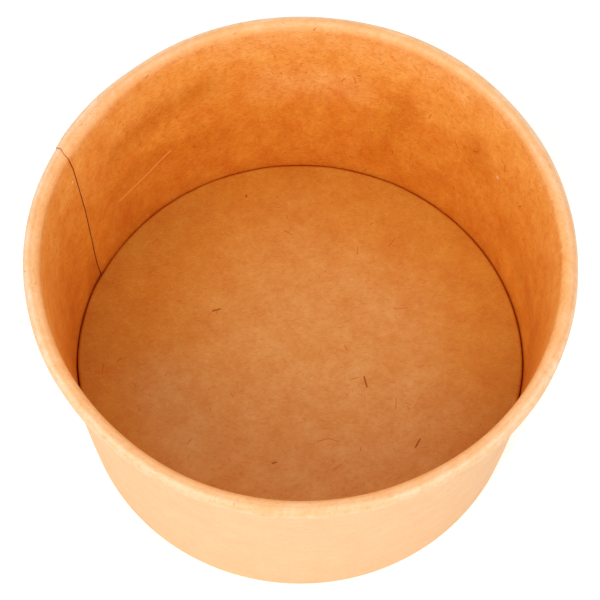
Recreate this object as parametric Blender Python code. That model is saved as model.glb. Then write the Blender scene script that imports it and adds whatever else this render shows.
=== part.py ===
"""Paper ice cream tub: a kraft-board side wall and the bottom disc that it holds.

The side wall is one blank of board. It is wrapped into a cone with a lapped side seam,
its top edge is rolled outwards into a hollow rim, and its bottom edge is folded inwards
and up as a hem. The bottom disc has a skirt bent down all round, which stands between
the wall and the hem. Metres, +Z up, origin on the table under the middle of the tub.
"""

import math

import bmesh
import bpy

# Overall form
RIM_DIAMETER = 0.0960
BASE_DIAMETER = 0.0785
TUB_HEIGHT = 0.0535

# Board
BOARD = 0.00045
BOARD_CLEARANCE = 0.0003

# Rolled rim
CURL_DIAMETER = 0.0030

# Bottom disc and the hem that grips its skirt
FLOOR_HEIGHT = 0.0108
SHOULDER_RADIUS = 0.0009
HEM_DROP = 0.0021
FOLD_DEPTH = 0.0005
FOOT_CORNER = 0.0009
FOOT_LAND = 0.0005

# Side seam: the end of the blank that shows inside lies over the other end
SEAM_AZIMUTH = math.radians(154.0)
LAP_WIDTH = 0.0075
LAP_STEP = 0.0003
LAP_RELAX = 0.0120
CUT_EDGE_WIDTH = 0.0001
DISC_BRIDGE = 0.0030

# Fineness of the faceted surfaces, and how near a seam station (in pitches) others may come
STATIONS = 80
CURL_SEGMENTS = 14
FOLD_SEGMENTS = 6
CORNER_SEGMENTS = 4
CLEAR_OF_SEAM = 1 / 3
SHARP_EDGE = math.radians(40)

KRAFT_WALL = (0.86, 0.53, 0.26, 1.0)
KRAFT_DISC = (0.80, 0.47, 0.21, 1.0)
KRAFT_ROUGHNESS = 0.72

# Worked out from the sizes above
CURL_RADIUS = CURL_DIAMETER / 2
CURL_CENTRE_R = RIM_DIAMETER / 2 - CURL_RADIUS
CURL_CENTRE_Z = TUB_HEIGHT - CURL_RADIUS


def wall_tilt():
    """Lean of the wall, so that it runs from the base straight into the rolled rim."""
    run = CURL_CENTRE_R - BASE_DIAMETER / 2
    reach = math.hypot(run, CURL_CENTRE_Z)
    return math.atan2(run, CURL_CENTRE_Z) - math.asin((CURL_RADIUS - BOARD) / reach)


TILT = wall_tilt()
BOARD_ACROSS = BOARD / math.cos(TILT)
CLEARANCE_ACROSS = BOARD_CLEARANCE / math.cos(TILT)
FOLD_TOP = BOARD + FOLD_DEPTH
SKIRT_FOOT = FOLD_TOP + BOARD_CLEARANCE
HEM_TOP = FLOOR_HEIGHT - SHOULDER_RADIUS - HEM_DROP


def from_wall(offset, z):
    """Section point that lies this far outside the wall's plain outer face at height z."""
    return (BASE_DIAMETER / 2 + z * math.tan(TILT) + offset, z)


def ellipse(centre, half_width, half_height, start, end, segments):
    """Points along an elliptical arc in the section plane, both ends included."""
    points = []
    for i in range(segments + 1):
        angle = start + (end - start) * i / segments
        points.append((centre[0] + half_width * math.cos(angle),
                       centre[1] + half_height * math.sin(angle)))
    return points


def around_curl(radius, start, end):
    centre = (CURL_CENTRE_R, CURL_CENTRE_Z)
    return ellipse(centre, radius, radius, start, end, CURL_SEGMENTS)


def leaned(points):
    """Turns points given as (offset from the wall's outer face, height) into section points."""
    return [from_wall(offset, z) for offset, z in points]


def wall_section(inner, outer, disc):
    """Closed section of the side wall, from the hem round the fold and up into the rim.

    inner and outer are how far the wall's two faces stand in from the plain cone there,
    and disc is the same for the skirt that the hem follows.
    """
    skirt_room = BOARD_ACROSS + 2 * CLEARANCE_ACROSS
    inside_face = -BOARD_ACROSS - inner
    hem_face = -BOARD_ACROSS - disc - skirt_room
    hem_back = hem_face - BOARD_ACROSS - (inner - outer)

    hem_edge = [(hem_back, HEM_TOP), (hem_face, HEM_TOP)]
    fold_middle = ((inside_face + hem_face) / 2, FOLD_TOP)
    fold = ellipse(fold_middle, (inside_face - hem_face) / 2, FOLD_DEPTH,
                   -math.pi, 0.0, FOLD_SEGMENTS)

    foot_middle = (-outer + hem_back) / 2
    corner_width = (-outer - hem_back - FOOT_LAND) / 2
    outer_corner = ellipse((foot_middle + FOOT_LAND / 2, FOOT_CORNER), corner_width,
                           FOOT_CORNER, 0.0, -math.pi / 2, CORNER_SEGMENTS)
    inner_corner = ellipse((foot_middle - FOOT_LAND / 2, FOOT_CORNER), corner_width,
                           FOOT_CORNER, -math.pi / 2, -math.pi, CORNER_SEGMENTS)

    reach_in = CURL_RADIUS - BOARD + outer
    open_side = math.acos((BOARD_CLEARANCE - reach_in) / (CURL_RADIUS + inner))
    curl_start = math.pi - TILT
    curl_end = -TILT - open_side
    curl_face = around_curl(CURL_RADIUS + inner, curl_start, curl_end)
    curl_back = around_curl(reach_in, curl_end, curl_start)

    return (leaned(hem_edge) + leaned(fold) + curl_face + curl_back
            + leaned(outer_corner) + leaned(inner_corner))


def disc_section(disc):
    """Half section of the bottom disc, from its upper face over the skirt to its underside."""
    skirt_face = -BOARD_ACROSS - disc - CLEARANCE_ACROSS
    skirt_back = skirt_face - BOARD_ACROSS
    bend_z = FLOOR_HEIGHT - SHOULDER_RADIUS
    bend_middle = (skirt_face - SHOULDER_RADIUS, bend_z)
    inner_radius = SHOULDER_RADIUS - BOARD
    shoulder = ellipse(bend_middle, SHOULDER_RADIUS, SHOULDER_RADIUS,
                       math.pi / 2, 0.0, CORNER_SEGMENTS)
    under = ellipse(bend_middle, inner_radius, inner_radius, 0.0, math.pi / 2, CORNER_SEGMENTS)
    skirt_edge = [(skirt_face, SKIRT_FOOT), (skirt_back, SKIRT_FOOT)]
    return leaned(shoulder) + leaned(skirt_edge) + leaned(under)


def eased(share):
    share = min(max(share, 0.0), 1.0)
    return share * share * (3 - 2 * share)


def seam_stations():
    """Azimuths round the tub, each with how far the inner face, outer face and disc stand in.

    The inner cut edge is at SEAM_AZIMUTH and the outer one a lap's width clockwise of it.
    Past the outer cut edge the single board eases back to the plain cone.
    """
    around = (RIM_DIAMETER + BASE_DIAMETER) / 4
    inner_cut = SEAM_AZIMUTH
    outer_cut = inner_cut - LAP_WIDTH / around
    relaxed = outer_cut - LAP_RELAX / around
    bridge = inner_cut + DISC_BRIDGE / around
    half_cut = CUT_EDGE_WIDTH / around / 2

    def relaxing(azimuth):
        return LAP_STEP * eased((azimuth - relaxed) / (outer_cut - relaxed))

    at_seam = [
        (outer_cut - half_cut, LAP_STEP, LAP_STEP, LAP_STEP),
        (outer_cut + half_cut, LAP_STEP, 0.0, LAP_STEP),
        (inner_cut - half_cut, LAP_STEP, 0.0, LAP_STEP),
        (inner_cut + half_cut, 0.0, 0.0, LAP_STEP),
        (bridge, 0.0, 0.0, 0.0),
    ]
    pitch = 2 * math.pi / STATIONS
    stations = list(at_seam)
    for i in range(STATIONS):
        azimuth = i * pitch
        if any(abs(azimuth - near[0]) < pitch * CLEAR_OF_SEAM for near in at_seam):
            continue
        if relaxed < azimuth < outer_cut:
            shift = relaxing(azimuth)
            stations.append((azimuth, shift, shift, shift))
        elif outer_cut < azimuth < inner_cut:
            stations.append((azimuth, LAP_STEP, 0.0, LAP_STEP))
        elif inner_cut < azimuth < bridge:
            share = (bridge - azimuth) / (bridge - inner_cut)
            stations.append((azimuth, 0.0, 0.0, LAP_STEP * share))
        else:
            stations.append((azimuth, 0.0, 0.0, 0.0))
    return sorted(stations)


def ring(bm, section, azimuth):
    """Stands a section up in the bmesh at this azimuth."""
    turn = (math.cos(azimuth), math.sin(azimuth))
    return [bm.verts.new((r * turn[0], r * turn[1], z)) for r, z in section]


def skin(bm, rings, closed_section):
    """Joins each ring of section points to the next one, and the last to the first."""
    count = len(rings[0])
    strips = count if closed_section else count - 1
    for here, there in zip(rings, rings[1:] + rings[:1]):
        for i in range(strips):
            j = (i + 1) % count
            bm.faces.new((here[i], there[i], there[j], here[j]))


def kraft(name, colour):
    material = bpy.data.materials.new(name)
    material.use_nodes = True
    shader = material.node_tree.nodes["Principled BSDF"]
    shader.inputs["Base Color"].default_value = colour
    shader.inputs["Roughness"].default_value = KRAFT_ROUGHNESS
    shader.inputs["Metallic"].default_value = 0.0
    material.diffuse_color = colour
    return material


def finish(name, bm, material):
    """Makes a bmesh an object of its own, shaded round with its edges kept sharp."""
    bmesh.ops.recalc_face_normals(bm, faces=bm.faces)
    mesh = bpy.data.meshes.new(name)
    bm.to_mesh(mesh)
    bm.free()
    mesh.materials.append(material)
    mesh.shade_smooth()
    mesh.set_sharp_from_angle(angle=SHARP_EDGE)
    part = bpy.data.objects.new(name, mesh)
    bpy.context.scene.collection.objects.link(part)
    return part


def make_side_wall(stations):
    bm = bmesh.new()
    rings = [ring(bm, wall_section(inner, outer, disc), azimuth)
             for azimuth, inner, outer, disc in stations]
    skin(bm, rings, closed_section=True)
    return finish("side_wall", bm, kraft("kraft_wall", KRAFT_WALL))


def make_bottom_disc(stations):
    bm = bmesh.new()
    rings = [ring(bm, disc_section(disc), azimuth)
             for azimuth, inner, outer, disc in stations]
    skin(bm, rings, closed_section=False)
    bm.faces.new([points[0] for points in rings])
    bm.faces.new([points[-1] for points in reversed(rings)])
    return finish("bottom_disc", bm, kraft("kraft_disc", KRAFT_DISC))


def main():
    for old in list(bpy.data.objects):
        bpy.data.objects.remove(old, do_unlink=True)
    stations = seam_stations()
    make_side_wall(stations)
    make_bottom_disc(stations)


main()
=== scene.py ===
"""Looks of the paper ice cream tub: a lapped kraft-board wall and the disc it holds."""

import math

import bmesh
import bpy
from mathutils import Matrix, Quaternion, Vector


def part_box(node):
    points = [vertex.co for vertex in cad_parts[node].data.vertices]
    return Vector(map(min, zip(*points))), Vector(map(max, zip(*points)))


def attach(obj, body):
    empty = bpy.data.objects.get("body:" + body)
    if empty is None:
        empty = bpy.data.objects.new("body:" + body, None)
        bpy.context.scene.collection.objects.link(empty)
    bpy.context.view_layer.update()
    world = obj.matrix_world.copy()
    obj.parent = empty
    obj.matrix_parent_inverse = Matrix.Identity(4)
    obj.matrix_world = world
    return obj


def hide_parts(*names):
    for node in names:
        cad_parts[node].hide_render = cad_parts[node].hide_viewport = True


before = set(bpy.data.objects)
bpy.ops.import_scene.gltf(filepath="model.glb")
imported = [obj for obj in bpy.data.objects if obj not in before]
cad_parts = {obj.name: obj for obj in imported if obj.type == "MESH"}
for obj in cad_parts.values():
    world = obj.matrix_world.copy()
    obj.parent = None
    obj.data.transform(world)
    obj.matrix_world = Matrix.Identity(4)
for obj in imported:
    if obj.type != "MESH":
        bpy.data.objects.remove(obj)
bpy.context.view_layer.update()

WALL_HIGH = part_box("side_wall")[1]
DISC_LOW, DISC_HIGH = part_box("bottom_disc")

# Board and seam
BOARD = 0.00045
CLEARANCE = 0.0003
LAP_STEP = 0.0003
LAP_BOARD_SHARE = 0.50
SEAM_AZIMUTH = math.radians(154.4)
LAP_TURN = math.radians(9.9)
RELAX_TURN = math.radians(16.0)
EDGE_LIFT = 0.00004
EDGE_TURN = math.radians(3.0)
EDGE_THINNED = 0.50
THINNING_TURN = math.radians(1.5)
SEAM_BOW = math.radians(0.6)
SEAM_BOW_Z = 0.0220
SEAM_BOW_BAND = 0.0025
SEAM_BOW_REACH = 0.012
SEAM_TURN_AT_RIM = math.radians(0.55)
SEAM_TURN_REACH = 0.004
SEAM_TURN_OVER_RIM = math.radians(-0.8)
SEAM_OVER_REACH = 0.0015

# Rolled rim, fold at the foot, and the disc
CURL_RADIUS = 0.0015
CURL_GAP = 0.0006
CURL_ZONE = 1.2 * CURL_RADIUS
CURL_R = WALL_HIGH.x - CURL_RADIUS
CURL_Z = WALL_HIGH.z - LAP_STEP - CURL_RADIUS
BASE_RADIUS = 0.03925
HEM_TOP = 0.0078
FLOOR_Z = DISC_HIGH.z
SKIRT_FOOT = DISC_LOW.z
DISC_BRIDGE_TURN = math.radians(4.0)
DISC_CLEARANCE = 0.00026
DISC_SHOULDER = 0.00065
DISC_LAP_PRESS = 0.00015

# Where the tub is out of round: the wall and the disc are wider across at the floor, the foot
# is narrower, the rim stands in or out (at these degrees round the tub, by these metres), the
# disc's edge has four slight corners at the back, and the board bulges where the wall laps
WALL_WIDER = 1.0120
DISC_WIDER = 1.0126
FOOT_NARROWER = 0.9965
FOOT_BAND = 0.0015
FOOT_REACH = 0.0080
RIM_PUSHES = ((60, 0.00022), (6, -0.00020), (136, -0.00016), (172, 0.00016), (222, -0.00022),
              (-38, 0.00020))
RIM_PUSH_ZONE = 0.0040
RIM_PUSH_REACH = 0.0160
WIDER_BAND = 0.0030
WIDER_REACH = 0.0140
DISC_CORNERS = (114.5, 99.5, 82.5, 64.5)
CORNER_PUSH = 0.00008
CORNER_REACH = 0.0060
LAP_BULGE = 0.00008
LAP_BULGE_AZIMUTH = math.radians(153.0)
LAP_BULGE_REACH = 0.0100

# How finely the sheets are divided, and from what share of a whole side an edge is cut up
LONG_EDGE = 0.9
WALL_STEPS = 296
WALL_CUTS = 26
CURL_STEPS = 28
FOLD_STEPS = 8
HEM_CUTS = 4
DISC_POINTS = 288
DISC_RINGS = 10
DISC_EDGE_ZONE = 0.0012
SHOULDER_CUTS = 6
SHARP_EDGE = math.radians(40)

# Colours in linear light: up the inside of the wall, deeper towards the floor and in the gap below
# it as painted shade; over the rim, paler as painted light with a painted highlight and painted
# light and shade patches; and out over the disc, lighter in its middle as painted light and deeper
# at its edge and shoulder as painted shade
# Painted shade: the wall deepens from its top down to the floor, and is deepest in the gap below it
WALL_IN_GAP = (0.86, 0.185, 0.004)
WALL_AT_FLOOR = (0.72, 0.246, 0.017)
WALL_MIDWAY = (0.84, 0.305, 0.029)
WALL_AT_TOP = (0.96, 0.400, 0.066)
WALL_AT_RIM = (0.96, 0.415, 0.085)
# Painted sheen, painted light and painted shade for wide patches inside the wall
WALL_PAINTED_SHEEN = (0.99, 0.475, 0.140)
WALL_LIT = (0.97, 0.415, 0.038)
WALL_SHADED = (0.68, 0.205, 0.007)
# Painted light: the rim pales as it rolls over to face up
RIM_FOOT = (0.95, 0.440, 0.135)
RIM_CREASE = (0.94, 0.455, 0.165)
RIM_INNER = (0.93, 0.500, 0.225)
RIM_BAND = (0.92, 0.465, 0.200)
# A painted highlight along the rim's outer shoulder
RIM_PAINTED_HIGHLIGHT = (0.95, 0.650, 0.385)
RIM_OUTER = (0.93, 0.580, 0.325)
# Painted shade of the duller band on the rim in front
RIM_FRONT_SHADE = (0.93, 0.515, 0.230)
WALL_OUTSIDE = (0.92, 0.556, 0.289)
RAW_EDGE = (0.82, 0.380, 0.100)
# Painted light in the disc's middle and painted shade towards its edge, paler and deeper patches,
# and a painted shade at its back left
DISC_MIDDLE = (0.715, 0.330, 0.079)
DISC_EDGE = (0.64, 0.236, 0.016)
DISC_PALER = (0.70, 0.390, 0.120)
DISC_DEEPER = (0.70, 0.270, 0.022)
DISC_SHADED = (0.56, 0.215, 0.022)
# Painted shade on the disc's shoulder, in the gap by the wall
DISC_SHOULDER_SHADE = (0.80, 0.210, 0.006)
DARK_FIBRE = (0.54, 0.035, 0.000)
BROWN_FIBRE = (0.30, 0.045, 0.000)
BLACK_FIBRE = (0.22, 0.030, 0.000)
PALE_FIBRE = (0.95, 0.640, 0.330)
SEAM_SHADE = (0.30, 0.050, 0.003)
SCRATCH = (0.98, 0.540, 0.150)
WALL_WHITE_DOT = (1.00, 0.740, 0.460)

# Millimetres to the metre, for the textures, and between which values noise mostly lies
MM = 1000.0
NOISE_LOW = 0.3
NOISE_HIGH = 0.7

# The board's mottling, in features to the millimetre and in how far it darkens or lightens,
# how it is drawn out, how strong it is, and how the red, green and blue of a colour follow it
MOTTLE_SCALE = 0.14
MOTTLE = 0.11
GRAIN_SCALE = 3.2
GRAIN = 0.02
EVEN = (1, 1, 1)
INSIDE_STRETCH = (1.5, 1, 1)
DISC_STRETCH = (1, 1.05, 1)
INSIDE_CONTRAST = 1.3
RIM_CONTRAST = 0.60
DISC_CONTRAST = 1.0
OUTSIDE_CONTRAST = 0.45
INSIDE_POWERS = (0.70, 2.2, 5.0)
OUTSIDE_POWERS = (0.6, 1.3, 2.0)

# Its fibres, in millimetres: colour, strength, spacing, length, width, how many of the places
# have one, and how far they turn from lying level
FIBRES = (
    (PALE_FIBRE, 0.18, 1.2, 0.9, 0.08, 0.70, 2.4),
    (DARK_FIBRE, 0.26, 1.0, 0.8, 0.10, 0.75, 2.0),
    (DARK_FIBRE, 0.28, 1.6, 1.1, 0.12, 0.60, 1.0),
    (DARK_FIBRE, 0.32, 2.9, 1.5, 0.12, 0.45, 3.0),
    (DARK_FIBRE, 0.60, 9.0, 1.0, 0.16, 0.22, 2 * math.pi),
)
FIBRE_BEND = 0.28
FIBRE_TAPER = 0.6
FIBRE_SHIFT = (37.3, 11.9, 0.0)
INSIDE_FIBRES = 1.2

# Streaks of the board, drawn out along or round the wall, and flecks of its cut edge: where
# the noise starts and stops to show as pale fibre, and how strongly
STREAK_SCALE = 0.8
STREAK = 0.012
INSIDE_STREAKS = (1.0, 0.20, 1)
OUTSIDE_STREAKS = (0.18, 1.3, 1)
PALE_STREAKS = (0.50, 0.75)
PALE_STREAK = 0.35
FLECK_SCALE = 5.0
FLECKS = (0.35, 0.70)
FLECK = 0.3

# Colours of the wall's top and of the rolled rim, a painted light that pales as the roll turns up,
# with a painted highlight on it, in millimetres past the start of the roll, and how far below the
# floor the wall's lowest colour lies
ROLL_STOPS = (
    (-4.0, WALL_AT_TOP), (-0.8, WALL_AT_RIM), (0.2, RIM_FOOT), (0.9, RIM_CREASE),
    (1.5, RIM_CREASE), (1.8, RIM_INNER), (2.3, RIM_BAND), (3.0, RIM_PAINTED_HIGHLIGHT), (3.6, RIM_OUTER))
ON_RIM = (-0.5, 0.8)
GAP_DEPTH = 1.0

# How these colours wave along the rim, and how far they move in at its right side. The places
# of this and the next two are in shares of the rim's radius
RIM_WAVE_SCALE = 0.06
RIM_WAVE = 0.15
RIM_NARROWER = 0.85
NARROWER_AT = (0.88, 0.98)

# The painted shade of a duller band on the rim in front, and the painted highlight of a bright ridge
# along its back: how strong, where, and between which millimetres past the start of the roll they
# come and go
FRONT_BAND = 0.85
FRONT_BAND_AT = (-0.95, -1.01)
FRONT_BAND_ROLL = (2.3, 2.8, 3.6, 4.2)
BACK_RIDGE = 0.42
BACK_RIDGE_WAY = (0.50, 0.87, 0.0)
BACK_RIDGE_AT = (-0.1, 0.9)
BACK_RIDGE_ROLL = (0.9, 1.5, 1.5, 2.1)

# Wrinkles of the rolled rim, tinted darker in their creases as painted shade, and the narrow shade
# beside the seam
WRINKLE_SCALE = 0.9
RIM_WRINKLES = (0.50, 1.25, 1)
WRINKLED = (0.54, 0.70)
WRINKLE = 0.34
# Painted shade in the wrinkles' creases
WRINKLE_CREASE_SHADE = (0.92, 0.410, 0.130)
SEAM_SHADE_WIDTH = 0.24
SEAM_SHADE_ON_RIM = 0.60

# Painted light and shade inside the wall, in wide patches under its grain: a painted sheen at the
# back, painted light low at the sides and painted shade in patches at the back; and marks, the fine
# ones over it: colour, strength, width in millimetres, and lines from and to (degrees round the tub,
# millimetres up)
WALL_PAINTED_LIGHT_AND_SHADE = (
    (WALL_PAINTED_SHEEN, 0.45, 9.0, (((106, 51.0), (50, 51.0)), ((97, 37), (79, 37)))),
    (WALL_LIT, 0.50, 7.0, (((155, 27), (164, 15)), ((24, 16), (3, 14)), ((153, 22), (151, 16)))),
    (WALL_SHADED, 0.60, 6.0, (
        ((65, 35), (70, 17)), ((44, 36), (43, 33)), ((140, 38), (114, 40)),
        ((141, 28), (112, 24)))),
)
SPECK_WIDTH = 0.24
SPECK_LINES = (
    ((95.4, 39.6), (95.3, 39.8)), ((140.8, 32.4), (140.7, 32.6)), ((136.6, 44.2), (136.5, 44.4)),
    ((117.7, 23.3), (117.6, 23.5)), ((47.8, 20.2), (47.3, 19.4)))
WALL_MARKS = (
    (DARK_FIBRE, 0.75, 0.19, (
        ((81.0, 37.9), (80.3, 39.0)), ((78.0, 39.6), (77.5, 38.4)),
        ((127.9, 52.4), (127.0, 52.6)), ((50.4, 34.2), (49.2, 32.5)),
        ((44.9, 35.4), (43.6, 36.3)), ((34.2, 39.1), (34.7, 40.8)),
        ((26.6, 35.6), (25.8, 36.7)), ((58.4, 35.9), (58.0, 37.2)),
        ((87.4, 52.7), (86.9, 53.1)), ((66.2, 20.6), (66.0, 19.6)))),
    (BLACK_FIBRE, 0.60, SPECK_WIDTH, SPECK_LINES),
    (SCRATCH, 0.85, 0.30, (
        ((142.2, 24.2), (136.7, 23.7)), ((136.7, 23.7), (131.6, 24.0)),
        ((131.6, 24.0), (124.4, 26.2)), ((163.3, 45.1), (160.0, 44.8)))),
    (WALL_WHITE_DOT, 1.00, 0.50, (
        ((155.9, 45.4), (155.9, 45.5)), ((35.9, 35.3), (35.9, 35.4)))),
)

# The disc's lightest place, a painted light, from how far to how far it fades to a painted shade at
# its edge, and how far down its shoulder takes a painted shade, in millimetres
DISC_LIGHTEST = (6.0, -5.0, 0.0)
DISC_SPREAD = (1.12, 0.85, 1)
DISC_FADES = (13.0, 42.0)
SHOULDER_SHADE_DOWN = (0.05, 0.35)

# Paler and deeper patches on the disc with a painted shade at its back left, and its fine marks,
# given as the wall's are, with lines from and to (millimetres across, millimetres back)
DISC_SHADES = (
    (DISC_PALER, 0.50, 12.0, (((-24.0, -6.0), (-20.0, -16.0)),)),
    (DISC_DEEPER, 0.55, 14.0, (((10.0, 30.0), (31.0, 20.0)), ((31.0, 20.0), (33.0, 2.0)))),
    (DISC_SHADED, 0.50, 11.0, (((-30.0, 24.0), (-20.0, 30.0)),)),
)
BROWN_WIDTH = 0.28
BROWN_LINES = (
    ((11.6, -3.1), (12.1, -5.0)), ((20.9, -16.8), (21.7, -15.2)), ((-16.0, 9.7), (-14.7, 10.1)),
    ((-4.7, -20.3), (-4.1, -20.1)), ((-10.3, 33.0), (-10.3, 33.3)))
DISC_MARKS = (
    (DARK_FIBRE, 0.60, 0.16, (
        ((9.3, -3.6), (10.5, -3.2)), ((8.0, 3.1), (8.6, 2.1)), ((17.4, -7.2), (17.3, -9.4)),
        ((16.0, 23.2), (17.1, 24.9)), ((-27.4, 23.1), (-26.5, 24.1)),
        ((-33.1, -0.8), (-32.3, 0.2)), ((-20.1, -16.8), (-19.2, -15.5)),
        ((-3.3, 26.2), (-1.9, 25.4)), ((17.0, 10.6), (19.4, 10.8)),
        ((3.3, -15.9), (5.2, -15.3)), ((5.2, -15.3), (7.2, -15.9)),
        ((6.15, -21.4), (7.7, -20.3)), ((4.4, 17.8), (4.4, 18.2)),
        ((-14.3, -21.4), (-14.0, -21.3)), ((-35.7, -2.9), (-35.6, -1.2)),
        ((10.2, 21.6), (10.3, 23.2)), ((16.2, 33.0), (16.5, 33.1)))),
    (BROWN_FIBRE, 0.85, BROWN_WIDTH, BROWN_LINES),
)

# How the board feels: matt, with a faint satin film inside
INSIDE_ROUGHNESS = 0.58
OUTSIDE_ROUGHNESS = 0.72
EDGE_ROUGHNESS = 0.90
SPECULAR = 0.30
BUMP_DEPTH = 0.00004
BUMP_STRENGTH = 0.6

# The picture: where the camera looks and how the tub is lit
PICTURE = 600
FOCAL_PIXELS = 4549
SENSOR_MM = 36.0
CAMERA_DISTANCE = 0.800
CAMERA_TILT = math.radians(64.66)
CAMERA_ROLL = math.radians(0.73)
CAMERA_AIM = Vector((-0.000165, 0.0, 0.0364))
CAMERA_NEAR = 0.01
CAMERA_FAR = 10.0
SKY_LEVEL = 0.88
KEY_WATTS = 5.7
KEY_PLACE = Vector((-0.25, -0.9, 0.95))
KEY_SIZE = 0.6
TABLE_SIZE = 6.0
TABLE_WHITE = 0.90
TABLE_GLOW = 0.30


def wall_tilt():
    """Lean of the wall, from the foot straight into the rolled rim."""
    run = CURL_R - BASE_RADIUS
    reach = math.hypot(run, CURL_Z)
    return math.atan2(run, CURL_Z) - math.asin((CURL_RADIUS - BOARD) / reach)


TILT = wall_tilt()
BOARD_ACROSS = BOARD / math.cos(TILT)
CLEARANCE_ACROSS = CLEARANCE / math.cos(TILT)


def wall_point(offset, z):
    """Place in the XZ plane that lies this far outside the wall's outer face at height z."""
    return Vector((BASE_RADIUS + z * math.tan(TILT) + offset, 0.0, z))


# Sizes of the fold at the foot, how far along the blank the wall starts and ends, and how far
# round each step of the spun sheet goes
RING_TURN = (2 * math.pi + LAP_TURN) / WALL_STEPS
FOLD_RADIUS = BOARD_ACROSS / 2 + CLEARANCE_ACROSS
FOLD_Z = BOARD + FOLD_RADIUS
HEM_LENGTH = (HEM_TOP - FOLD_Z) / math.cos(TILT)
WALL_TOP_Z = CURL_Z + CURL_RADIUS * math.sin(TILT)
WALL_FOOT_ALONG = HEM_LENGTH + math.pi * FOLD_RADIUS - FOLD_Z / math.cos(TILT)
WALL_TOP_ALONG = WALL_FOOT_ALONG + WALL_TOP_Z / math.cos(TILT)


def eased(share):
    share = min(max(share, 0.0), 1.0)
    return share * share * (3 - 2 * share)


def take(piece):
    bpy.ops.object.select_all(action="DESELECT")
    piece.select_set(True)
    bpy.context.view_layer.objects.active = piece


def edit(piece):
    take(piece)
    bpy.ops.object.mode_set(mode="EDIT")
    bpy.ops.mesh.select_mode(type="VERT")


def choose_points(piece, wanted):
    """Selects, in edit mode, the points that wanted(number, place) accepts."""
    bpy.ops.mesh.select_mode(type="VERT")
    bpy.ops.mesh.select_all(action="DESELECT")
    shape = bmesh.from_edit_mesh(piece.data)
    for point in shape.verts:
        if wanted(point.index, point.co):
            point.select_set(True)
    shape.select_flush_mode()
    bmesh.update_edit_mesh(piece.data)


def choose_edges(piece, wanted):
    """Selects, in edit mode, the edges whose two ends wanted(place, place) accepts."""
    bpy.ops.mesh.select_mode(type="EDGE")
    bpy.ops.mesh.select_all(action="DESELECT")
    shape = bmesh.from_edit_mesh(piece.data)
    for edge in shape.edges:
        if wanted(edge.verts[0].co, edge.verts[1].co):
            edge.select_set(True)
    shape.select_flush_mode()
    bmesh.update_edit_mesh(piece.data)


def outward(azimuth):
    return Vector((math.cos(azimuth), math.sin(azimuth), 0.0))


def nudge(piece, wanted, shift, reach, falloff="SMOOTH"):
    """Pushes the chosen points by a shift that fades out over this reach."""
    choose_points(piece, wanted)
    bpy.ops.transform.translate(value=shift, use_proportional_edit=True,
                                proportional_edit_falloff=falloff, proportional_size=reach)


def apply_modifier(piece, kind, **settings):
    take(piece)
    modifier = piece.modifiers.new(kind.title(), kind)
    for key, value in settings.items():
        setattr(modifier, key, value)
    bpy.ops.object.modifier_apply(modifier=modifier.name)


def first_point(name, place):
    """A new piece that is one selected point, left in edit mode for extruding."""
    bpy.ops.object.select_all(action="DESELECT")
    bpy.ops.mesh.primitive_plane_add(size=BOARD, location=(0, 0, 0))
    piece = bpy.context.object
    piece.name = name
    piece.data.name = name
    edit(piece)
    bpy.ops.mesh.select_all(action="SELECT")
    bpy.ops.mesh.merge(type="CENTER")
    bpy.ops.transform.translate(value=place)
    return piece


def extrude_point(start, end):
    bpy.ops.mesh.extrude_region_move(TRANSFORM_OT_translate={"value": end - start})


def draw_wall_outline():
    """The blank seen edge-on: down the hem, round the fold, up the wall, over the rim."""
    inside = -BOARD_ACROSS
    hem = inside - 2 * FOLD_RADIUS
    hem_top = wall_point(hem, HEM_TOP)
    hem_foot = wall_point(hem, FOLD_Z)
    fold_centre = wall_point(inside - FOLD_RADIUS, FOLD_Z)
    wall_foot = wall_point(inside, FOLD_Z)
    curl_centre = Vector((CURL_R, 0.0, CURL_Z))
    wall_top = curl_centre + CURL_RADIUS * Vector((-math.cos(TILT), 0.0, math.sin(TILT)))
    open_side = math.acos((CURL_GAP - CURL_RADIUS + BOARD) / CURL_RADIUS)

    piece = first_point("tub_wall", hem_top)
    extrude_point(hem_top, hem_foot)
    bpy.ops.mesh.spin(steps=FOLD_STEPS, angle=math.pi, center=fold_centre, axis=(0, 1, 0))
    extrude_point(wall_foot, wall_top)
    bpy.ops.mesh.spin(steps=CURL_STEPS, angle=-(math.pi + open_side),
                      center=curl_centre, axis=(0, 1, 0))
    wall_length = (wall_top - wall_foot).length
    choose_edges(piece, lambda a, b: (a - b).length > wall_length * LONG_EDGE)
    bpy.ops.mesh.subdivide(number_cuts=WALL_CUTS)
    hem_length = (hem_top - hem_foot).length
    choose_edges(piece, lambda a, b: (a - b).length > hem_length * LONG_EDGE)
    bpy.ops.mesh.subdivide(number_cuts=HEM_CUTS)
    return piece


def lengths_along(piece):
    """How far along the blank's outline each of its points lies, from the hem's edge."""
    shape = bmesh.from_edit_mesh(piece.data)
    ends = [point for point in shape.verts if len(point.link_edges) == 1]
    here = min(ends, key=lambda point: point.co.z)
    along = {here.index: 0.0}
    edge = here.link_edges[0]
    while edge:
        there = edge.other_vert(here)
        along[there.index] = along[here.index] + edge.calc_length()
        onward = [other for other in there.link_edges if other != edge]
        here, edge = there, onward[0] if onward else None
    return [along[i] for i in range(len(along))]


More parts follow.
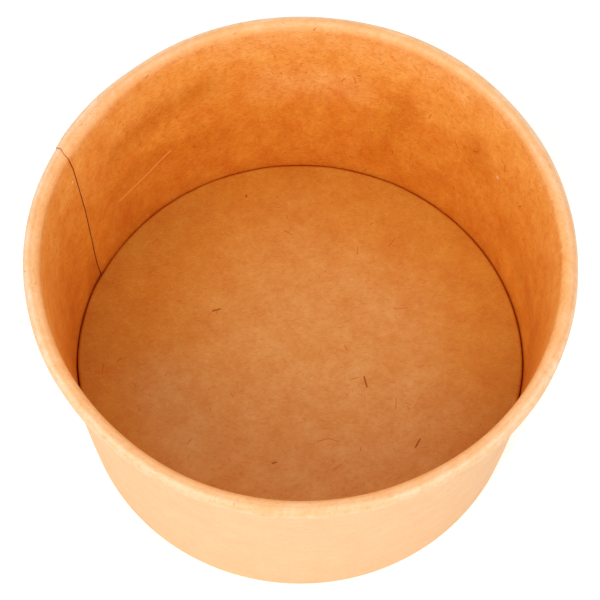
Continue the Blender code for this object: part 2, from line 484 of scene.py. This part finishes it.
def press_lap(piece, outline_points):
    """Lays the blank's first end over its last one, with the rim swelling outwards there."""
    def on_curl(place):
        return math.hypot(math.hypot(place.x, place.y) - CURL_R, place.z - CURL_Z) < CURL_ZONE

    ring = 0
    while ring * RING_TURN < LAP_TURN + RELAX_TURN:
        turn = ring * RING_TURN
        near_edge = eased(1 - turn / EDGE_TURN)
        share = eased((LAP_TURN + RELAX_TURN - turn) / RELAX_TURN)
        share *= 1 - EDGE_THINNED * near_edge
        shift = 1 - (LAP_STEP * share + EDGE_LIFT * near_edge) / CURL_R
        choose_points(piece, lambda i, place: i // outline_points == ring and not on_curl(place))
        bpy.ops.transform.resize(value=(shift, shift, 1), center_override=(0, 0, 0))
        choose_points(piece, lambda i, place: i // outline_points == ring and on_curl(place))
        bpy.ops.transform.shrink_fatten(value=LAP_STEP * share)
        ring += 1


def turn_back(angle, reach):
    """Turns the chosen points about the tub's middle by an angle that fades over this reach."""
    bpy.ops.transform.rotate(value=-angle, orient_axis="Z", center_override=(0, 0, 0),
                             use_proportional_edit=True, proportional_size=reach)


def widen(piece, ratio):
    """Widens the back half of a piece across at the floor."""
    choose_points(piece, lambda i, place: abs(place.z - FLOOR_Z) < WIDER_BAND and place.y > 0)
    bpy.ops.transform.resize(value=(ratio, 1, 1), center_override=(0, 0, 0),
                             use_proportional_edit=True, proportional_size=WIDER_REACH)


def bulge(piece, radius):
    """Pushes the board out at the floor, where the wall laps."""
    way = outward(LAP_BULGE_AZIMUTH)
    middle = way * radius + Vector((0, 0, FLOOR_Z))
    nudge(piece, lambda i, place: (place - middle).length < WIDER_BAND, way * LAP_BULGE,
          LAP_BULGE_REACH)


def bow_seam(piece):
    """Bows the seam a little up the wall, and turns it where it runs over the rim."""
    choose_points(piece, lambda i, place: abs(place.z - SEAM_BOW_Z) < SEAM_BOW_BAND)
    turn_back(SEAM_BOW, SEAM_BOW_REACH)
    choose_points(piece, lambda i, place: place.z > CURL_Z - CURL_RADIUS
                  and place.xy.length < CURL_R - CURL_RADIUS / 2)
    turn_back(SEAM_TURN_AT_RIM, SEAM_TURN_REACH)
    choose_points(piece, lambda i, place: place.xy.length > CURL_R + CURL_RADIUS / 3)
    turn_back(SEAM_TURN_OVER_RIM, SEAM_OVER_REACH)


def settle_wall(piece):
    """Sets the wall out of round at the floor, the foot and the rim."""
    widen(piece, WALL_WIDER)
    bulge(piece, wall_point(0.0, FLOOR_Z).x)
    choose_points(piece, lambda i, place: place.z < FOOT_BAND)
    bpy.ops.transform.resize(value=(FOOT_NARROWER, 1, 1), center_override=(0, 0, 0),
                             use_proportional_edit=True, proportional_size=FOOT_REACH)
    for degrees, push in RIM_PUSHES:
        way = outward(math.radians(degrees))
        crest = way * CURL_R + Vector((0, 0, CURL_Z))
        nudge(piece, lambda i, place: (place - crest).length < RIM_PUSH_ZONE, way * push,
              RIM_PUSH_REACH)


def lay_out_paper(piece, outline_points, along):
    """Gives the wall a flat map in metres: round the tub, and along the blank."""
    paper = piece.data.uv_layers.new(name="paper")
    for loop in piece.data.loops:
        ring, row = divmod(loop.vertex_index, outline_points)
        paper.data[loop.index].uv = (ring * RING_TURN * CURL_R, along[row])


def thin_in_lap(piece, outline_points):
    """A vertex group that says how much of the board's thickness is left, for the lapped end."""
    group = piece.vertex_groups.new(name="board")
    for point in piece.data.vertices:
        turn = (point.index // outline_points) * RING_TURN
        share = LAP_BOARD_SHARE * (1 - EDGE_THINNED * eased(1 - turn / EDGE_TURN))
        share += (1 - LAP_BOARD_SHARE) * eased((turn - LAP_TURN) / THINNING_TURN)
        group.add([point.index], share, "REPLACE")


def make_board(piece, materials, **settings):
    """Gives a sheet its face, back and edge materials and the board's thickness."""
    for material in materials:
        piece.data.materials.append(material)
    apply_modifier(piece, "SOLIDIFY", thickness=BOARD, offset=-1.0, use_even_offset=True,
                   material_offset=1, material_offset_rim=2, **settings)
    take(piece)
    bpy.ops.object.shade_smooth_by_angle(angle=SHARP_EDGE)


def make_wall():
    piece = draw_wall_outline()
    along = lengths_along(piece)
    outline_points = len(along)
    bpy.ops.mesh.select_mode(type="VERT")
    bpy.ops.mesh.select_all(action="SELECT")
    bpy.ops.transform.rotate(value=-SEAM_AZIMUTH, orient_axis="Z", center_override=(0, 0, 0))
    bpy.ops.mesh.spin(steps=WALL_STEPS, angle=2 * math.pi + LAP_TURN, center=(0, 0, 0),
                      axis=(0, 0, 1), use_auto_merge=False)
    bpy.ops.mesh.select_all(action="SELECT")
    bpy.ops.mesh.normals_make_consistent(inside=False)
    if faces_outwards(piece):
        bpy.ops.mesh.flip_normals()
    press_lap(piece, outline_points)
    bow_seam(piece)
    settle_wall(piece)
    bpy.ops.object.mode_set(mode="OBJECT")
    lay_out_paper(piece, outline_points, along)
    thin_in_lap(piece, outline_points)
    make_board(piece, (wall_inside, wall_outside, raw_edge), vertex_group="board")
    return piece


def faces_outwards(piece):
    """True if the plain part of the wall shows its front face to the outside of the tub."""
    shape = bmesh.from_edit_mesh(piece.data)
    middle = CURL_Z / 2
    total = 0.0
    for face in shape.faces:
        place = face.calc_center_median()
        if abs(place.z - middle) < middle / 4:
            total += face.normal.dot(Vector((place.x, place.y, 0.0)))
    return total > 0


def divide_face(piece, ring_width):
    """Divides the disc's flat face into rings round its middle."""
    bpy.ops.mesh.select_mode(type="FACE")
    bpy.ops.mesh.select_all(action="DESELECT")
    shape = bmesh.from_edit_mesh(piece.data)
    flat = max(shape.faces, key=lambda face: len(face.verts))
    flat.select_set(True)
    bmesh.update_edit_mesh(piece.data)
    for _ in range(DISC_RINGS):
        bpy.ops.mesh.inset(thickness=ring_width)
    bpy.ops.mesh.poke()


def make_disc():
    """The disc: a round face, its edge bent down all round and slimmed where the wall laps."""
    skirt = -BOARD_ACROSS - DISC_CLEARANCE
    edge_r = wall_point(skirt, FLOOR_Z).x
    foot_r = wall_point(skirt, SKIRT_FOOT).x
    bpy.ops.object.select_all(action="DESELECT")
    bpy.ops.mesh.primitive_circle_add(vertices=DISC_POINTS, radius=foot_r,
                                      fill_type="NOTHING", location=(0, 0, 0))
    piece = bpy.context.object
    piece.name = "tub_floor"
    piece.data.name = "tub_floor"
    edit(piece)
    bpy.ops.mesh.select_all(action="SELECT")
    bpy.ops.transform.translate(value=(0, 0, SKIRT_FOOT))
    bpy.ops.mesh.extrude_region_move(
        TRANSFORM_OT_translate={"value": (0, 0, FLOOR_Z - SKIRT_FOOT)})
    opening = edge_r / foot_r
    bpy.ops.transform.resize(value=(opening, opening, 1), center_override=(0, 0, 0))
    bpy.ops.mesh.edge_face_add()
    choose_edges(piece, lambda a, b: min(a.z, b.z) > FLOOR_Z - BOARD)
    bpy.ops.mesh.bevel(offset=DISC_SHOULDER, segments=SHOULDER_CUTS, affect="EDGES")
    divide_face(piece, (edge_r - DISC_SHOULDER) / (DISC_RINGS + 1))
    bpy.ops.mesh.select_all(action="SELECT")
    bpy.ops.mesh.normals_make_consistent(inside=False)
    press_disc(piece, edge_r)
    settle_disc(piece, edge_r)
    bpy.ops.object.mode_set(mode="OBJECT")
    make_board(piece, (disc_face, disc_under, raw_edge))
    return piece


def press_disc(piece, edge_r):
    """Pushes the disc's edge in beside the wall's lap, which it bridges in a straight line."""
    lap_end = SEAM_AZIMUTH - LAP_TURN
    pitch = 2 * math.pi / DISC_POINTS
    edge_zone = edge_r - DISC_EDGE_ZONE

    def at_edge(place, azimuth):
        return (math.hypot(place.x, place.y) > edge_zone
                and abs(math.atan2(place.y, place.x) - azimuth) < pitch / 2)

    azimuth = pitch * math.ceil((lap_end - RELAX_TURN) / pitch)
    while azimuth < SEAM_AZIMUTH + DISC_BRIDGE_TURN:
        if azimuth < lap_end:
            share = eased(1 - (lap_end - azimuth) / RELAX_TURN)
        else:
            share = min(1.0, 1 - (azimuth - SEAM_AZIMUTH) / DISC_BRIDGE_TURN)
        shift = 1 - DISC_LAP_PRESS * share / edge_r
        choose_points(piece, lambda i, place: at_edge(place, azimuth))
        bpy.ops.transform.resize(value=(shift, shift, 1), center_override=(0, 0, 0))
        azimuth += pitch


def settle_disc(piece, edge_r):
    """Sets the disc out of round as the wall is, with its back edge cornered."""
    widen(piece, DISC_WIDER)
    bulge(piece, edge_r)
    for degrees in DISC_CORNERS:
        way = outward(math.radians(degrees))
        corner = way * edge_r
        nudge(piece, lambda i, place: (place.xy - corner.xy).length < DISC_EDGE_ZONE,
              way * CORNER_PUSH, CORNER_REACH, "SHARP")


def feed(tree, value, socket):
    """Links another node's socket to this one, or sets this one to a plain value."""
    if isinstance(value, bpy.types.NodeSocket):
        tree.links.new(value, socket)
    else:
        socket.default_value = value


def node(tree, kind, inputs=None, **settings):
    """A new shader node with its settings, and with each input set or linked."""
    made = tree.nodes.new("ShaderNode" + kind)
    for name, value in settings.items():
        setattr(made, name, value)
    for name, value in (inputs or {}).items():
        feed(tree, value, made.inputs[name])
    return made


def math_node(tree, operation, first, second):
    return node(tree, "Math", {0: first, 1: second}, operation=operation).outputs[0]


def vector_node(tree, operation, first, second=(0, 0, 0), output="Vector"):
    made = node(tree, "VectorMath", {0: first}, operation=operation)
    feed(tree, second, made.inputs["Scale" if operation == "SCALE" else 1])
    return made.outputs[output]


def spread(tree, value, low, high, to_low, to_high, smooth=False):
    """Maps a value's range onto another one, and stops at its ends."""
    ends = {"Value": value, "From Min": low, "From Max": high, "To Min": to_low,
            "To Max": to_high}
    kind = "SMOOTHSTEP" if smooth else "LINEAR"
    return node(tree, "MapRange", ends, interpolation_type=kind).outputs["Result"]


def mix_colour(tree, share, first, second, blend="MIX"):
    made = node(tree, "Mix", {0: share}, data_type="RGBA", blend_type=blend)
    for slot, colour in ((6, first), (7, second)):
        if not isinstance(colour, bpy.types.NodeSocket):
            colour = (*colour, 1.0)
        feed(tree, colour, made.inputs[slot])
    return made.outputs[2]


def axis(tree, place, name):
    return node(tree, "SeparateXYZ", {"Vector": place}).outputs[name]


def noise(tree, place, scale, stretch=EVEN, detail=3.0, roughness=0.55):
    """Cloudy noise with this many features to the millimetre, from 0 to 1."""
    stretched = vector_node(tree, "MULTIPLY", place, stretch)
    made = node(tree, "TexNoise", {"Vector": stretched, "Scale": scale, "Detail": detail,
                                   "Roughness": roughness})
    return made.outputs["Fac"]


def colour_run(tree, value, stops):
    """Colours that follow one another as the value goes from 0 to 1."""
    made = node(tree, "ValToRGB", {"Fac": value})
    ramp = made.color_ramp
    for place, colour in stops[1:-1]:
        ramp.elements.new(place)
    for element, (place, colour) in zip(ramp.elements, stops):
        element.position = place
        element.color = (*colour, 1.0)
    return made.outputs["Color"]


def new_group(name, sockets):
    """An empty node group with these float or vector inputs and one float output."""
    group = bpy.data.node_groups.new(name, "ShaderNodeTree")
    for label, kind in sockets:
        group.interface.new_socket(label, in_out="INPUT", socket_type="NodeSocket" + kind)
    group.interface.new_socket("Mask", in_out="OUTPUT", socket_type="NodeSocketFloat")
    inward = group.nodes.new("NodeGroupInput").outputs
    outward = group.nodes.new("NodeGroupOutput").inputs
    return group, inward, outward


def make_fibre_group():
    """Short bent fibres, one to a cell, that lie every way: 1 on a fibre and 0 between."""
    group, inward, outward = new_group("fibres", (
        ("Place", "Vector"), ("Cells", "Float"), ("Length", "Float"), ("Width", "Float"),
        ("Share", "Float"), ("Turn", "Float")))
    cells = node(group, "TexVoronoi", {"Vector": inward["Place"], "Scale": inward["Cells"]},
                 voronoi_dimensions="2D")
    away = vector_node(group, "SUBTRACT", inward["Place"], cells.outputs["Position"])
    chance = node(group, "SeparateColor", {"Color": cells.outputs["Color"]}).outputs
    aside = math_node(group, "SUBTRACT", chance["Red"], 0.5)
    angle = math_node(group, "MULTIPLY", aside, inward["Turn"])
    turned = node(group, "VectorRotate", {"Vector": away, "Angle": angle}).outputs[0]
    axes = node(group, "SeparateXYZ", {"Vector": turned}).outputs
    bend = spread(group, chance["Green"], 0.0, 1.0, -FIBRE_BEND, FIBRE_BEND)
    rise = math_node(group, "MULTIPLY", math_node(group, "MULTIPLY", axes["X"], axes["X"]), bend)
    off_line = math_node(group, "ABSOLUTE", math_node(group, "SUBTRACT", axes["Y"], rise), 0)
    along = math_node(group, "ABSOLUTE", axes["X"], 0)
    half = math_node(group, "MULTIPLY", inward["Length"], 0.5)
    taper = math_node(group, "MULTIPLY", half, FIBRE_TAPER)
    across_mask = spread(group, off_line, 0.0, inward["Width"], 1.0, 0.0, smooth=True)
    along_mask = spread(group, along, taper, half, 1.0, 0.0, smooth=True)
    there = math_node(group, "LESS_THAN", chance["Blue"], inward["Share"])
    mask = math_node(group, "MULTIPLY", math_node(group, "MULTIPLY", across_mask, along_mask), there)
    group.links.new(mask, outward["Mask"])
    return group


def make_mark_group():
    """One straight mark between two places: 1 along its middle and 0 at its width."""
    group, inward, outward = new_group("mark", (
        ("Place", "Vector"), ("Start", "Vector"), ("End", "Vector"), ("Width", "Float")))
    flat = vector_node(group, "MULTIPLY", inward["Place"], (1, 1, 0))
    reach = vector_node(group, "SUBTRACT", flat, inward["Start"])
    span = vector_node(group, "SUBTRACT", inward["End"], inward["Start"])
    dot = vector_node(group, "DOT_PRODUCT", reach, span, "Value")
    whole = vector_node(group, "DOT_PRODUCT", span, span, "Value")
    share = node(group, "Math", {0: dot, 1: whole}, operation="DIVIDE", use_clamp=True).outputs[0]
    nearest = vector_node(group, "SCALE", span, share)
    off_line = vector_node(group, "SUBTRACT", reach, nearest)
    distance = vector_node(group, "LENGTH", off_line, output="Value")
    mask = spread(group, distance, 0.0, inward["Width"], 1.0, 0.0, smooth=True)
    group.links.new(mask, outward["Mask"])
    return group


def fibres(tree, place, cell, length, width, share, turn):
    """Scattered fibres in millimetres: cell is their spacing and share how many cells have one."""
    sizes = {"Place": place, "Cells": 1 / cell, "Length": length, "Width": width,
             "Share": share, "Turn": turn}
    return node(tree, "Group", sizes, node_tree=fibre_group).outputs["Mask"]


def marks(tree, place, lines, width):
    """Marks along lines in millimetres, each a start and an end, all in one mask."""
    total = None
    for start, end in lines:
        ends = {"Place": place, "Start": (*start, 0.0), "End": (*end, 0.0), "Width": width}
        mask = node(tree, "Group", ends, node_tree=mark_group).outputs["Mask"]
        total = mask if total is None else math_node(tree, "MAXIMUM", total, mask)
    return total


def marked(tree, place, colour, rows):
    """Draws marks, and patches of painted light and shade, over a colour, each row with its colour,
    strength, width and lines.
    """
    for ink_and_painted_light, strength, width, lines in rows:
        share = math_node(tree, "MULTIPLY", marks(tree, place, lines, width), strength)
        colour = mix_colour(tree, share, colour, ink_and_painted_light)
    return colour


def on_paper(azimuth, height):
    """Place on the wall's flat map of a point inside: degrees round and millimetres up."""
    turn = (SEAM_AZIMUTH - math.radians(azimuth)) % (2 * math.pi)
    return (turn * CURL_R * MM, WALL_FOOT_ALONG * MM + height / math.cos(TILT))


def lines_on_paper(lines):
    return [(on_paper(*start), on_paper(*end)) for start, end in lines]


def rows_on_paper(rows):
    return [(*looks, lines_on_paper(lines)) for *looks, lines in rows]


# In millimetres: how far along the blank the floor and the start of the rim's roll are, and
# the radius of the rim
FLOOR_ALONG = on_paper(0, FLOOR_Z * MM)[1]
ROLL_ALONG = WALL_TOP_ALONG * MM
RIM = CURL_R * MM


def toned(tree, colour, tone, powers):
    """A colour made lighter or darker by a tone near 1, its red, green and blue by these powers."""
    channels = node(tree, "CombineColor", {
        name: math_node(tree, "POWER", tone, power)
        for name, power in zip(("Red", "Green", "Blue"), powers)})
    return mix_colour(tree, 1.0, colour, channels.outputs[0], "MULTIPLY")


def kraft_grain(tree, place, colour, stretch, contrast, powers, more_fibres=1.0):
    """Lays the board's mottling and fibres over a colour, and gives its height for a bump."""
    mottle = noise(tree, place, MOTTLE_SCALE, stretch, detail=5.0, roughness=0.85)
    grain = noise(tree, place, GRAIN_SCALE, stretch, detail=2.0)
    tone = math_node(tree, "ADD", spread(tree, mottle, NOISE_LOW, NOISE_HIGH, -MOTTLE, MOTTLE),
                     spread(tree, grain, NOISE_LOW, NOISE_HIGH, -GRAIN, GRAIN))
    tone = math_node(tree, "ADD", math_node(tree, "MULTIPLY", tone, contrast), 1.0)
    colour = toned(tree, colour, tone, powers)
    shifted = vector_node(tree, "ADD", place, FIBRE_SHIFT)
    for number, (fibre, strength, *sizes) in enumerate(FIBRES):
        mask = fibres(tree, shifted if number % 2 else place, *sizes)
        share = math_node(tree, "MULTIPLY", mask, strength * more_fibres)
        share = math_node(tree, "MULTIPLY", share, contrast)
        colour = mix_colour(tree, share, colour, fibre)
    return colour, grain


def finish_board(material, colour, height, roughness, dull=None):
    """Ends a board material: its colour, its satin except where it is dull, and its bump."""
    tree = material.node_tree
    shader = tree.nodes["Principled BSDF"]
    shader.inputs["Roughness"].default_value = roughness
    shader.inputs["Specular IOR Level"].default_value = SPECULAR
    if dull:
        satin = spread(tree, dull, 0.0, 1.0, SPECULAR, 0.0)
        tree.links.new(satin, shader.inputs["Specular IOR Level"])
    bump = node(tree, "Bump", {"Height": height, "Strength": BUMP_STRENGTH,
                               "Distance": BUMP_DEPTH})
    tree.links.new(colour, shader.inputs["Base Color"])
    tree.links.new(bump.outputs["Normal"], shader.inputs["Normal"])


def new_material(name):
    material = bpy.data.materials.new(name)
    material.use_nodes = True
    return material, material.node_tree


def paper_place(tree):
    """The wall's flat map in millimetres."""
    return vector_node(tree, "SCALE", node(tree, "UVMap", uv_map="paper").outputs["UV"], MM)


def object_place(tree):
    """Place in the object itself, in millimetres."""
    return vector_node(tree, "SCALE", node(tree, "TexCoord").outputs["Object"], MM)


def along_blank(tree, place, there):
    """How far along the blank a point counts: in waves, and less at the rim's right side."""
    waves = noise(tree, there, RIM_WAVE_SCALE, detail=1.0)
    wave = spread(tree, waves, NOISE_LOW, NOISE_HIGH, -RIM_WAVE, RIM_WAVE)
    start, end = NARROWER_AT
    aside = spread(tree, axis(tree, there, "X"), RIM * start, RIM * end, 0.0, RIM_NARROWER)
    along = math_node(tree, "ADD", axis(tree, place, "Y"), wave)
    return math_node(tree, "SUBTRACT", along, aside)


def wall_colours(tree, along):
    """Deep orange at the floor and lighter towards the mouth, a painted shade; pale where the rim
    rolls over, a painted light with a painted highlight.
    """
    low = FLOOR_ALONG - GAP_DEPTH
    high = ROLL_ALONG + math.pi * CURL_RADIUS * MM
    stops = [(low, WALL_IN_GAP), (FLOOR_ALONG, WALL_AT_FLOOR),
             ((FLOOR_ALONG + ROLL_ALONG) / 2, WALL_MIDWAY)]
    stops += [(ROLL_ALONG + past, tint) for past, tint in ROLL_STOPS]
    stops.append((high, RIM_OUTER))
    return colour_run(tree, spread(tree, along, low, high, 0.0, 1.0),
                      [((stop - low) / (high - low), tint) for stop, tint in stops])


def rim_band(tree, along, start, whole, fading, end, smooth=False):
    """A band of the rolled rim, in millimetres past the start of the roll."""
    comes = spread(tree, along, ROLL_ALONG + start, ROLL_ALONG + whole, 0.0, 1.0, smooth)
    goes = spread(tree, along, ROLL_ALONG + fading, ROLL_ALONG + end, 1.0, 0.0, smooth)
    return math_node(tree, "MULTIPLY", comes, goes)


def paint_rim_light_and_shade(tree, colour, along, there):
    """Lays a painted shade as a duller band over the rim in front, and a painted highlight as a
    bright ridge along its back.
    """
    start, end = FRONT_BAND_AT
    in_front = spread(tree, axis(tree, there, "Y"), RIM * start, RIM * end, 0.0, FRONT_BAND)
    band = math_node(tree, "MULTIPLY", in_front, rim_band(tree, along, *FRONT_BAND_ROLL))
    colour = mix_colour(tree, band, colour, RIM_FRONT_SHADE)
    start, end = BACK_RIDGE_AT
    backwards = vector_node(tree, "DOT_PRODUCT", there, BACK_RIDGE_WAY, "Value")
    at_back = spread(tree, backwards, RIM * start, RIM * end, 0.0, BACK_RIDGE)
    ridge = rim_band(tree, along, *BACK_RIDGE_ROLL, smooth=True)
    return mix_colour(tree, math_node(tree, "MULTIPLY", ridge, at_back), colour, RIM_PAINTED_HIGHLIGHT)


def wrinkle_rim(tree, place, colour, on_rim):
    """Lays wrinkles over the rolled rim, darker in their creases as painted shade, and gives where
    they are.
    """
    wrinkles = noise(tree, place, WRINKLE_SCALE, RIM_WRINKLES, detail=2.0)
    creased = math_node(tree, "MULTIPLY", on_rim, spread(tree, wrinkles, *WRINKLED, 0.0, 1.0))
    share = math_node(tree, "MULTIPLY", creased, WRINKLE)
    return mix_colour(tree, share, colour, WRINKLE_CREASE_SHADE), creased


def seam_shade(tree, place, on_rim):
    """The narrow shade on the blank's last end beside the first, which fades on the rim."""
    seam = 2 * math.pi * RIM
    shade = spread(tree, axis(tree, place, "X"), seam - SEAM_SHADE_WIDTH,
                   seam - SEAM_SHADE_WIDTH / 2, 0.0, 1.0)
    fade = spread(tree, on_rim, 0.0, 1.0, 1.0, SEAM_SHADE_ON_RIM)
    return math_node(tree, "MULTIPLY", shade, fade)


def make_wall_inside():
    """The kraft inside of the wall and the rolled rim, with painted shade deepening to the floor,
    painted light and highlights over the rim, painted light and shade patches, its marks and the
    seam's shade.
    """
    material, tree = new_material("kraft_inside")
    place = paper_place(tree)
    there = object_place(tree)
    along = along_blank(tree, place, there)
    # Painted shade deepening to the floor, painted light over the rim, a painted shade in front and
    # a painted highlight along the back of the rim
    colour = paint_rim_light_and_shade(tree, wall_colours(tree, along), along, there)
    start, end = ON_RIM
    on_rim = spread(tree, along, ROLL_ALONG + start, ROLL_ALONG + end, 0.0, 1.0)
    contrast = spread(tree, on_rim, 0.0, 1.0, INSIDE_CONTRAST, RIM_CONTRAST)
    streaks = noise(tree, place, STREAK_SCALE, INSIDE_STREAKS, detail=2.0)
    tone = spread(tree, streaks, NOISE_LOW, NOISE_HIGH, 1 - STREAK, 1 + STREAK)
    colour = toned(tree, colour, tone, INSIDE_POWERS)
    # Painted sheen, painted light and painted shade in wide patches
    colour = marked(tree, place, colour, rows_on_paper(WALL_PAINTED_LIGHT_AND_SHADE))
    colour, height = kraft_grain(tree, place, colour, INSIDE_STRETCH, contrast, INSIDE_POWERS,
                                 INSIDE_FIBRES)
    colour = marked(tree, place, colour, rows_on_paper(WALL_MARKS))
    colour, creased = wrinkle_rim(tree, place, colour, on_rim)
    height = math_node(tree, "SUBTRACT", height, creased)
    shade = seam_shade(tree, place, on_rim)
    colour = mix_colour(tree, shade, colour, SEAM_SHADE)
    specks = marks(tree, place, lines_on_paper(SPECK_LINES), SPECK_WIDTH)
    finish_board(material, colour, height, INSIDE_ROUGHNESS,
                 math_node(tree, "MAXIMUM", shade, specks))
    return material


def make_plain_kraft(name, find_place):
    """Pale, even kraft with faint lighter streaks: outside the wall and under the disc."""
    material, tree = new_material(name)
    place = find_place(tree)
    streaks = noise(tree, place, STREAK_SCALE, OUTSIDE_STREAKS, detail=3.0)
    share = spread(tree, streaks, *PALE_STREAKS, 0.0, PALE_STREAK)
    colour = mix_colour(tree, share, WALL_OUTSIDE, PALE_FIBRE)
    colour, height = kraft_grain(tree, place, colour, EVEN, OUTSIDE_CONTRAST, OUTSIDE_POWERS)
    finish_board(material, colour, height, OUTSIDE_ROUGHNESS)
    return material


def make_raw_edge():
    """The cut edge of the board, where its loose fibres show."""
    material, tree = new_material("kraft_cut_edge")
    flecks = noise(tree, object_place(tree), FLECK_SCALE, detail=2.0)
    share = spread(tree, flecks, *FLECKS, 0.0, FLECK)
    finish_board(material, mix_colour(tree, share, RAW_EDGE, PALE_FIBRE), flecks, EDGE_ROUGHNESS)
    return material


def make_disc_face():
    """Kraft that is lighter in the middle of the disc and deeper towards its edge, a painted light
    and shade, and in painted shade down its shoulder.
    """
    material, tree = new_material("kraft_disc")
    place = object_place(tree)
    flat = vector_node(tree, "MULTIPLY", place, (1, 1, 0))
    aside = vector_node(tree, "SUBTRACT", flat, DISC_LIGHTEST)
    aside = vector_node(tree, "MULTIPLY", aside, DISC_SPREAD)
    away = vector_node(tree, "LENGTH", aside, output="Value")
    out = spread(tree, away, *DISC_FADES, 0.0, 1.0, smooth=True)
    # Painted light in the middle, fading to painted shade at the edge
    colour = mix_colour(tree, out, DISC_MIDDLE, DISC_EDGE)
    start, end = SHOULDER_SHADE_DOWN
    rounded = spread(tree, axis(tree, place, "Z"), FLOOR_Z * MM - start, FLOOR_Z * MM - end,
                     0.0, 1.0)
    # Painted shade down the shoulder
    colour = mix_colour(tree, rounded, colour, DISC_SHOULDER_SHADE)
    # Paler and deeper patches, and a painted shade at the back left
    colour = marked(tree, flat, colour, DISC_SHADES)
    colour, height = kraft_grain(tree, flat, colour, DISC_STRETCH, DISC_CONTRAST, INSIDE_POWERS)
    colour = marked(tree, flat, colour, DISC_MARKS)
    finish_board(material, colour, height, INSIDE_ROUGHNESS,
                 marks(tree, flat, BROWN_LINES, BROWN_WIDTH))
    return material


def white_for_camera(tree):
    """1 for what the camera sees, straight or in a gloss or a glass, and 0 for lighting."""
    path = node(tree, "LightPath").outputs
    seen = math_node(tree, "MAXIMUM", path["Is Camera Ray"], path["Is Glossy Ray"])
    return math_node(tree, "MAXIMUM", seen, path["Is Transmission Ray"])


def make_table():
    """A white table that keeps the tub's soft shadow."""
    bpy.ops.object.select_all(action="DESELECT")
    bpy.ops.mesh.primitive_plane_add(size=TABLE_SIZE, location=(0, 0, 0))
    table = bpy.context.object
    table.name = "table"
    material, tree = new_material("table_white")
    shader = tree.nodes["Principled BSDF"]
    shader.inputs["Base Color"].default_value = (TABLE_WHITE, TABLE_WHITE, TABLE_WHITE, 1.0)
    shader.inputs["Roughness"].default_value = EDGE_ROUGHNESS
    glow = math_node(tree, "MULTIPLY", white_for_camera(tree), TABLE_GLOW)
    light = node(tree, "Emission", {"Strength": glow})
    both = node(tree, "AddShader", {0: shader.outputs[0], 1: light.outputs[0]})
    tree.links.new(both.outputs[0], tree.nodes["Material Output"].inputs["Surface"])
    table.data.materials.append(material)


def light_tub():
    world = bpy.data.worlds.new("studio")
    bpy.context.scene.world = world
    world.use_nodes = True
    tree = world.node_tree
    level = spread(tree, white_for_camera(tree), 0.0, 1.0, SKY_LEVEL, 1.0)
    tree.nodes["Background"].inputs["Color"].default_value = (1, 1, 1, 1)
    tree.links.new(level, tree.nodes["Background"].inputs["Strength"])
    lamp = bpy.data.lights.new("soft_box", "AREA")
    lamp.shape = "DISK"
    lamp.size = KEY_SIZE
    lamp.energy = KEY_WATTS
    holder = bpy.data.objects.new("soft_box", lamp)
    bpy.context.scene.collection.objects.link(holder)
    holder.location = KEY_PLACE
    aim = CAMERA_AIM - KEY_PLACE
    holder.rotation_euler = aim.to_track_quat("-Z", "Y").to_euler()


def place_camera():
    camera_data = bpy.data.cameras.new("camera")
    camera_data.sensor_width = SENSOR_MM
    camera_data.lens = FOCAL_PIXELS / PICTURE * SENSOR_MM
    camera_data.clip_start = CAMERA_NEAR
    camera_data.clip_end = CAMERA_FAR
    camera = bpy.data.objects.new("camera", camera_data)
    bpy.context.scene.collection.objects.link(camera)
    forward = Vector((0.0, math.cos(CAMERA_TILT), -math.sin(CAMERA_TILT)))
    level = forward.to_track_quat("-Z", "Y")
    rolled = level @ Quaternion((0.0, 0.0, 1.0), CAMERA_ROLL)
    camera.location = CAMERA_AIM - CAMERA_DISTANCE * forward
    camera.rotation_euler = rolled.to_euler()
    bpy.context.scene.camera = camera


fibre_group = make_fibre_group()
mark_group = make_mark_group()
wall_inside = make_wall_inside()
wall_outside = make_plain_kraft("kraft_outside", paper_place)
disc_face = make_disc_face()
disc_under = make_plain_kraft("kraft_under", object_place)
raw_edge = make_raw_edge()

wall = make_wall()
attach(wall, "root")
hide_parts("side_wall")

disc = make_disc()
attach(disc, "root")
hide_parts("bottom_disc")

make_table()
light_tub()
place_camera()
bpy.context.scene.view_settings.view_transform = "Standard"
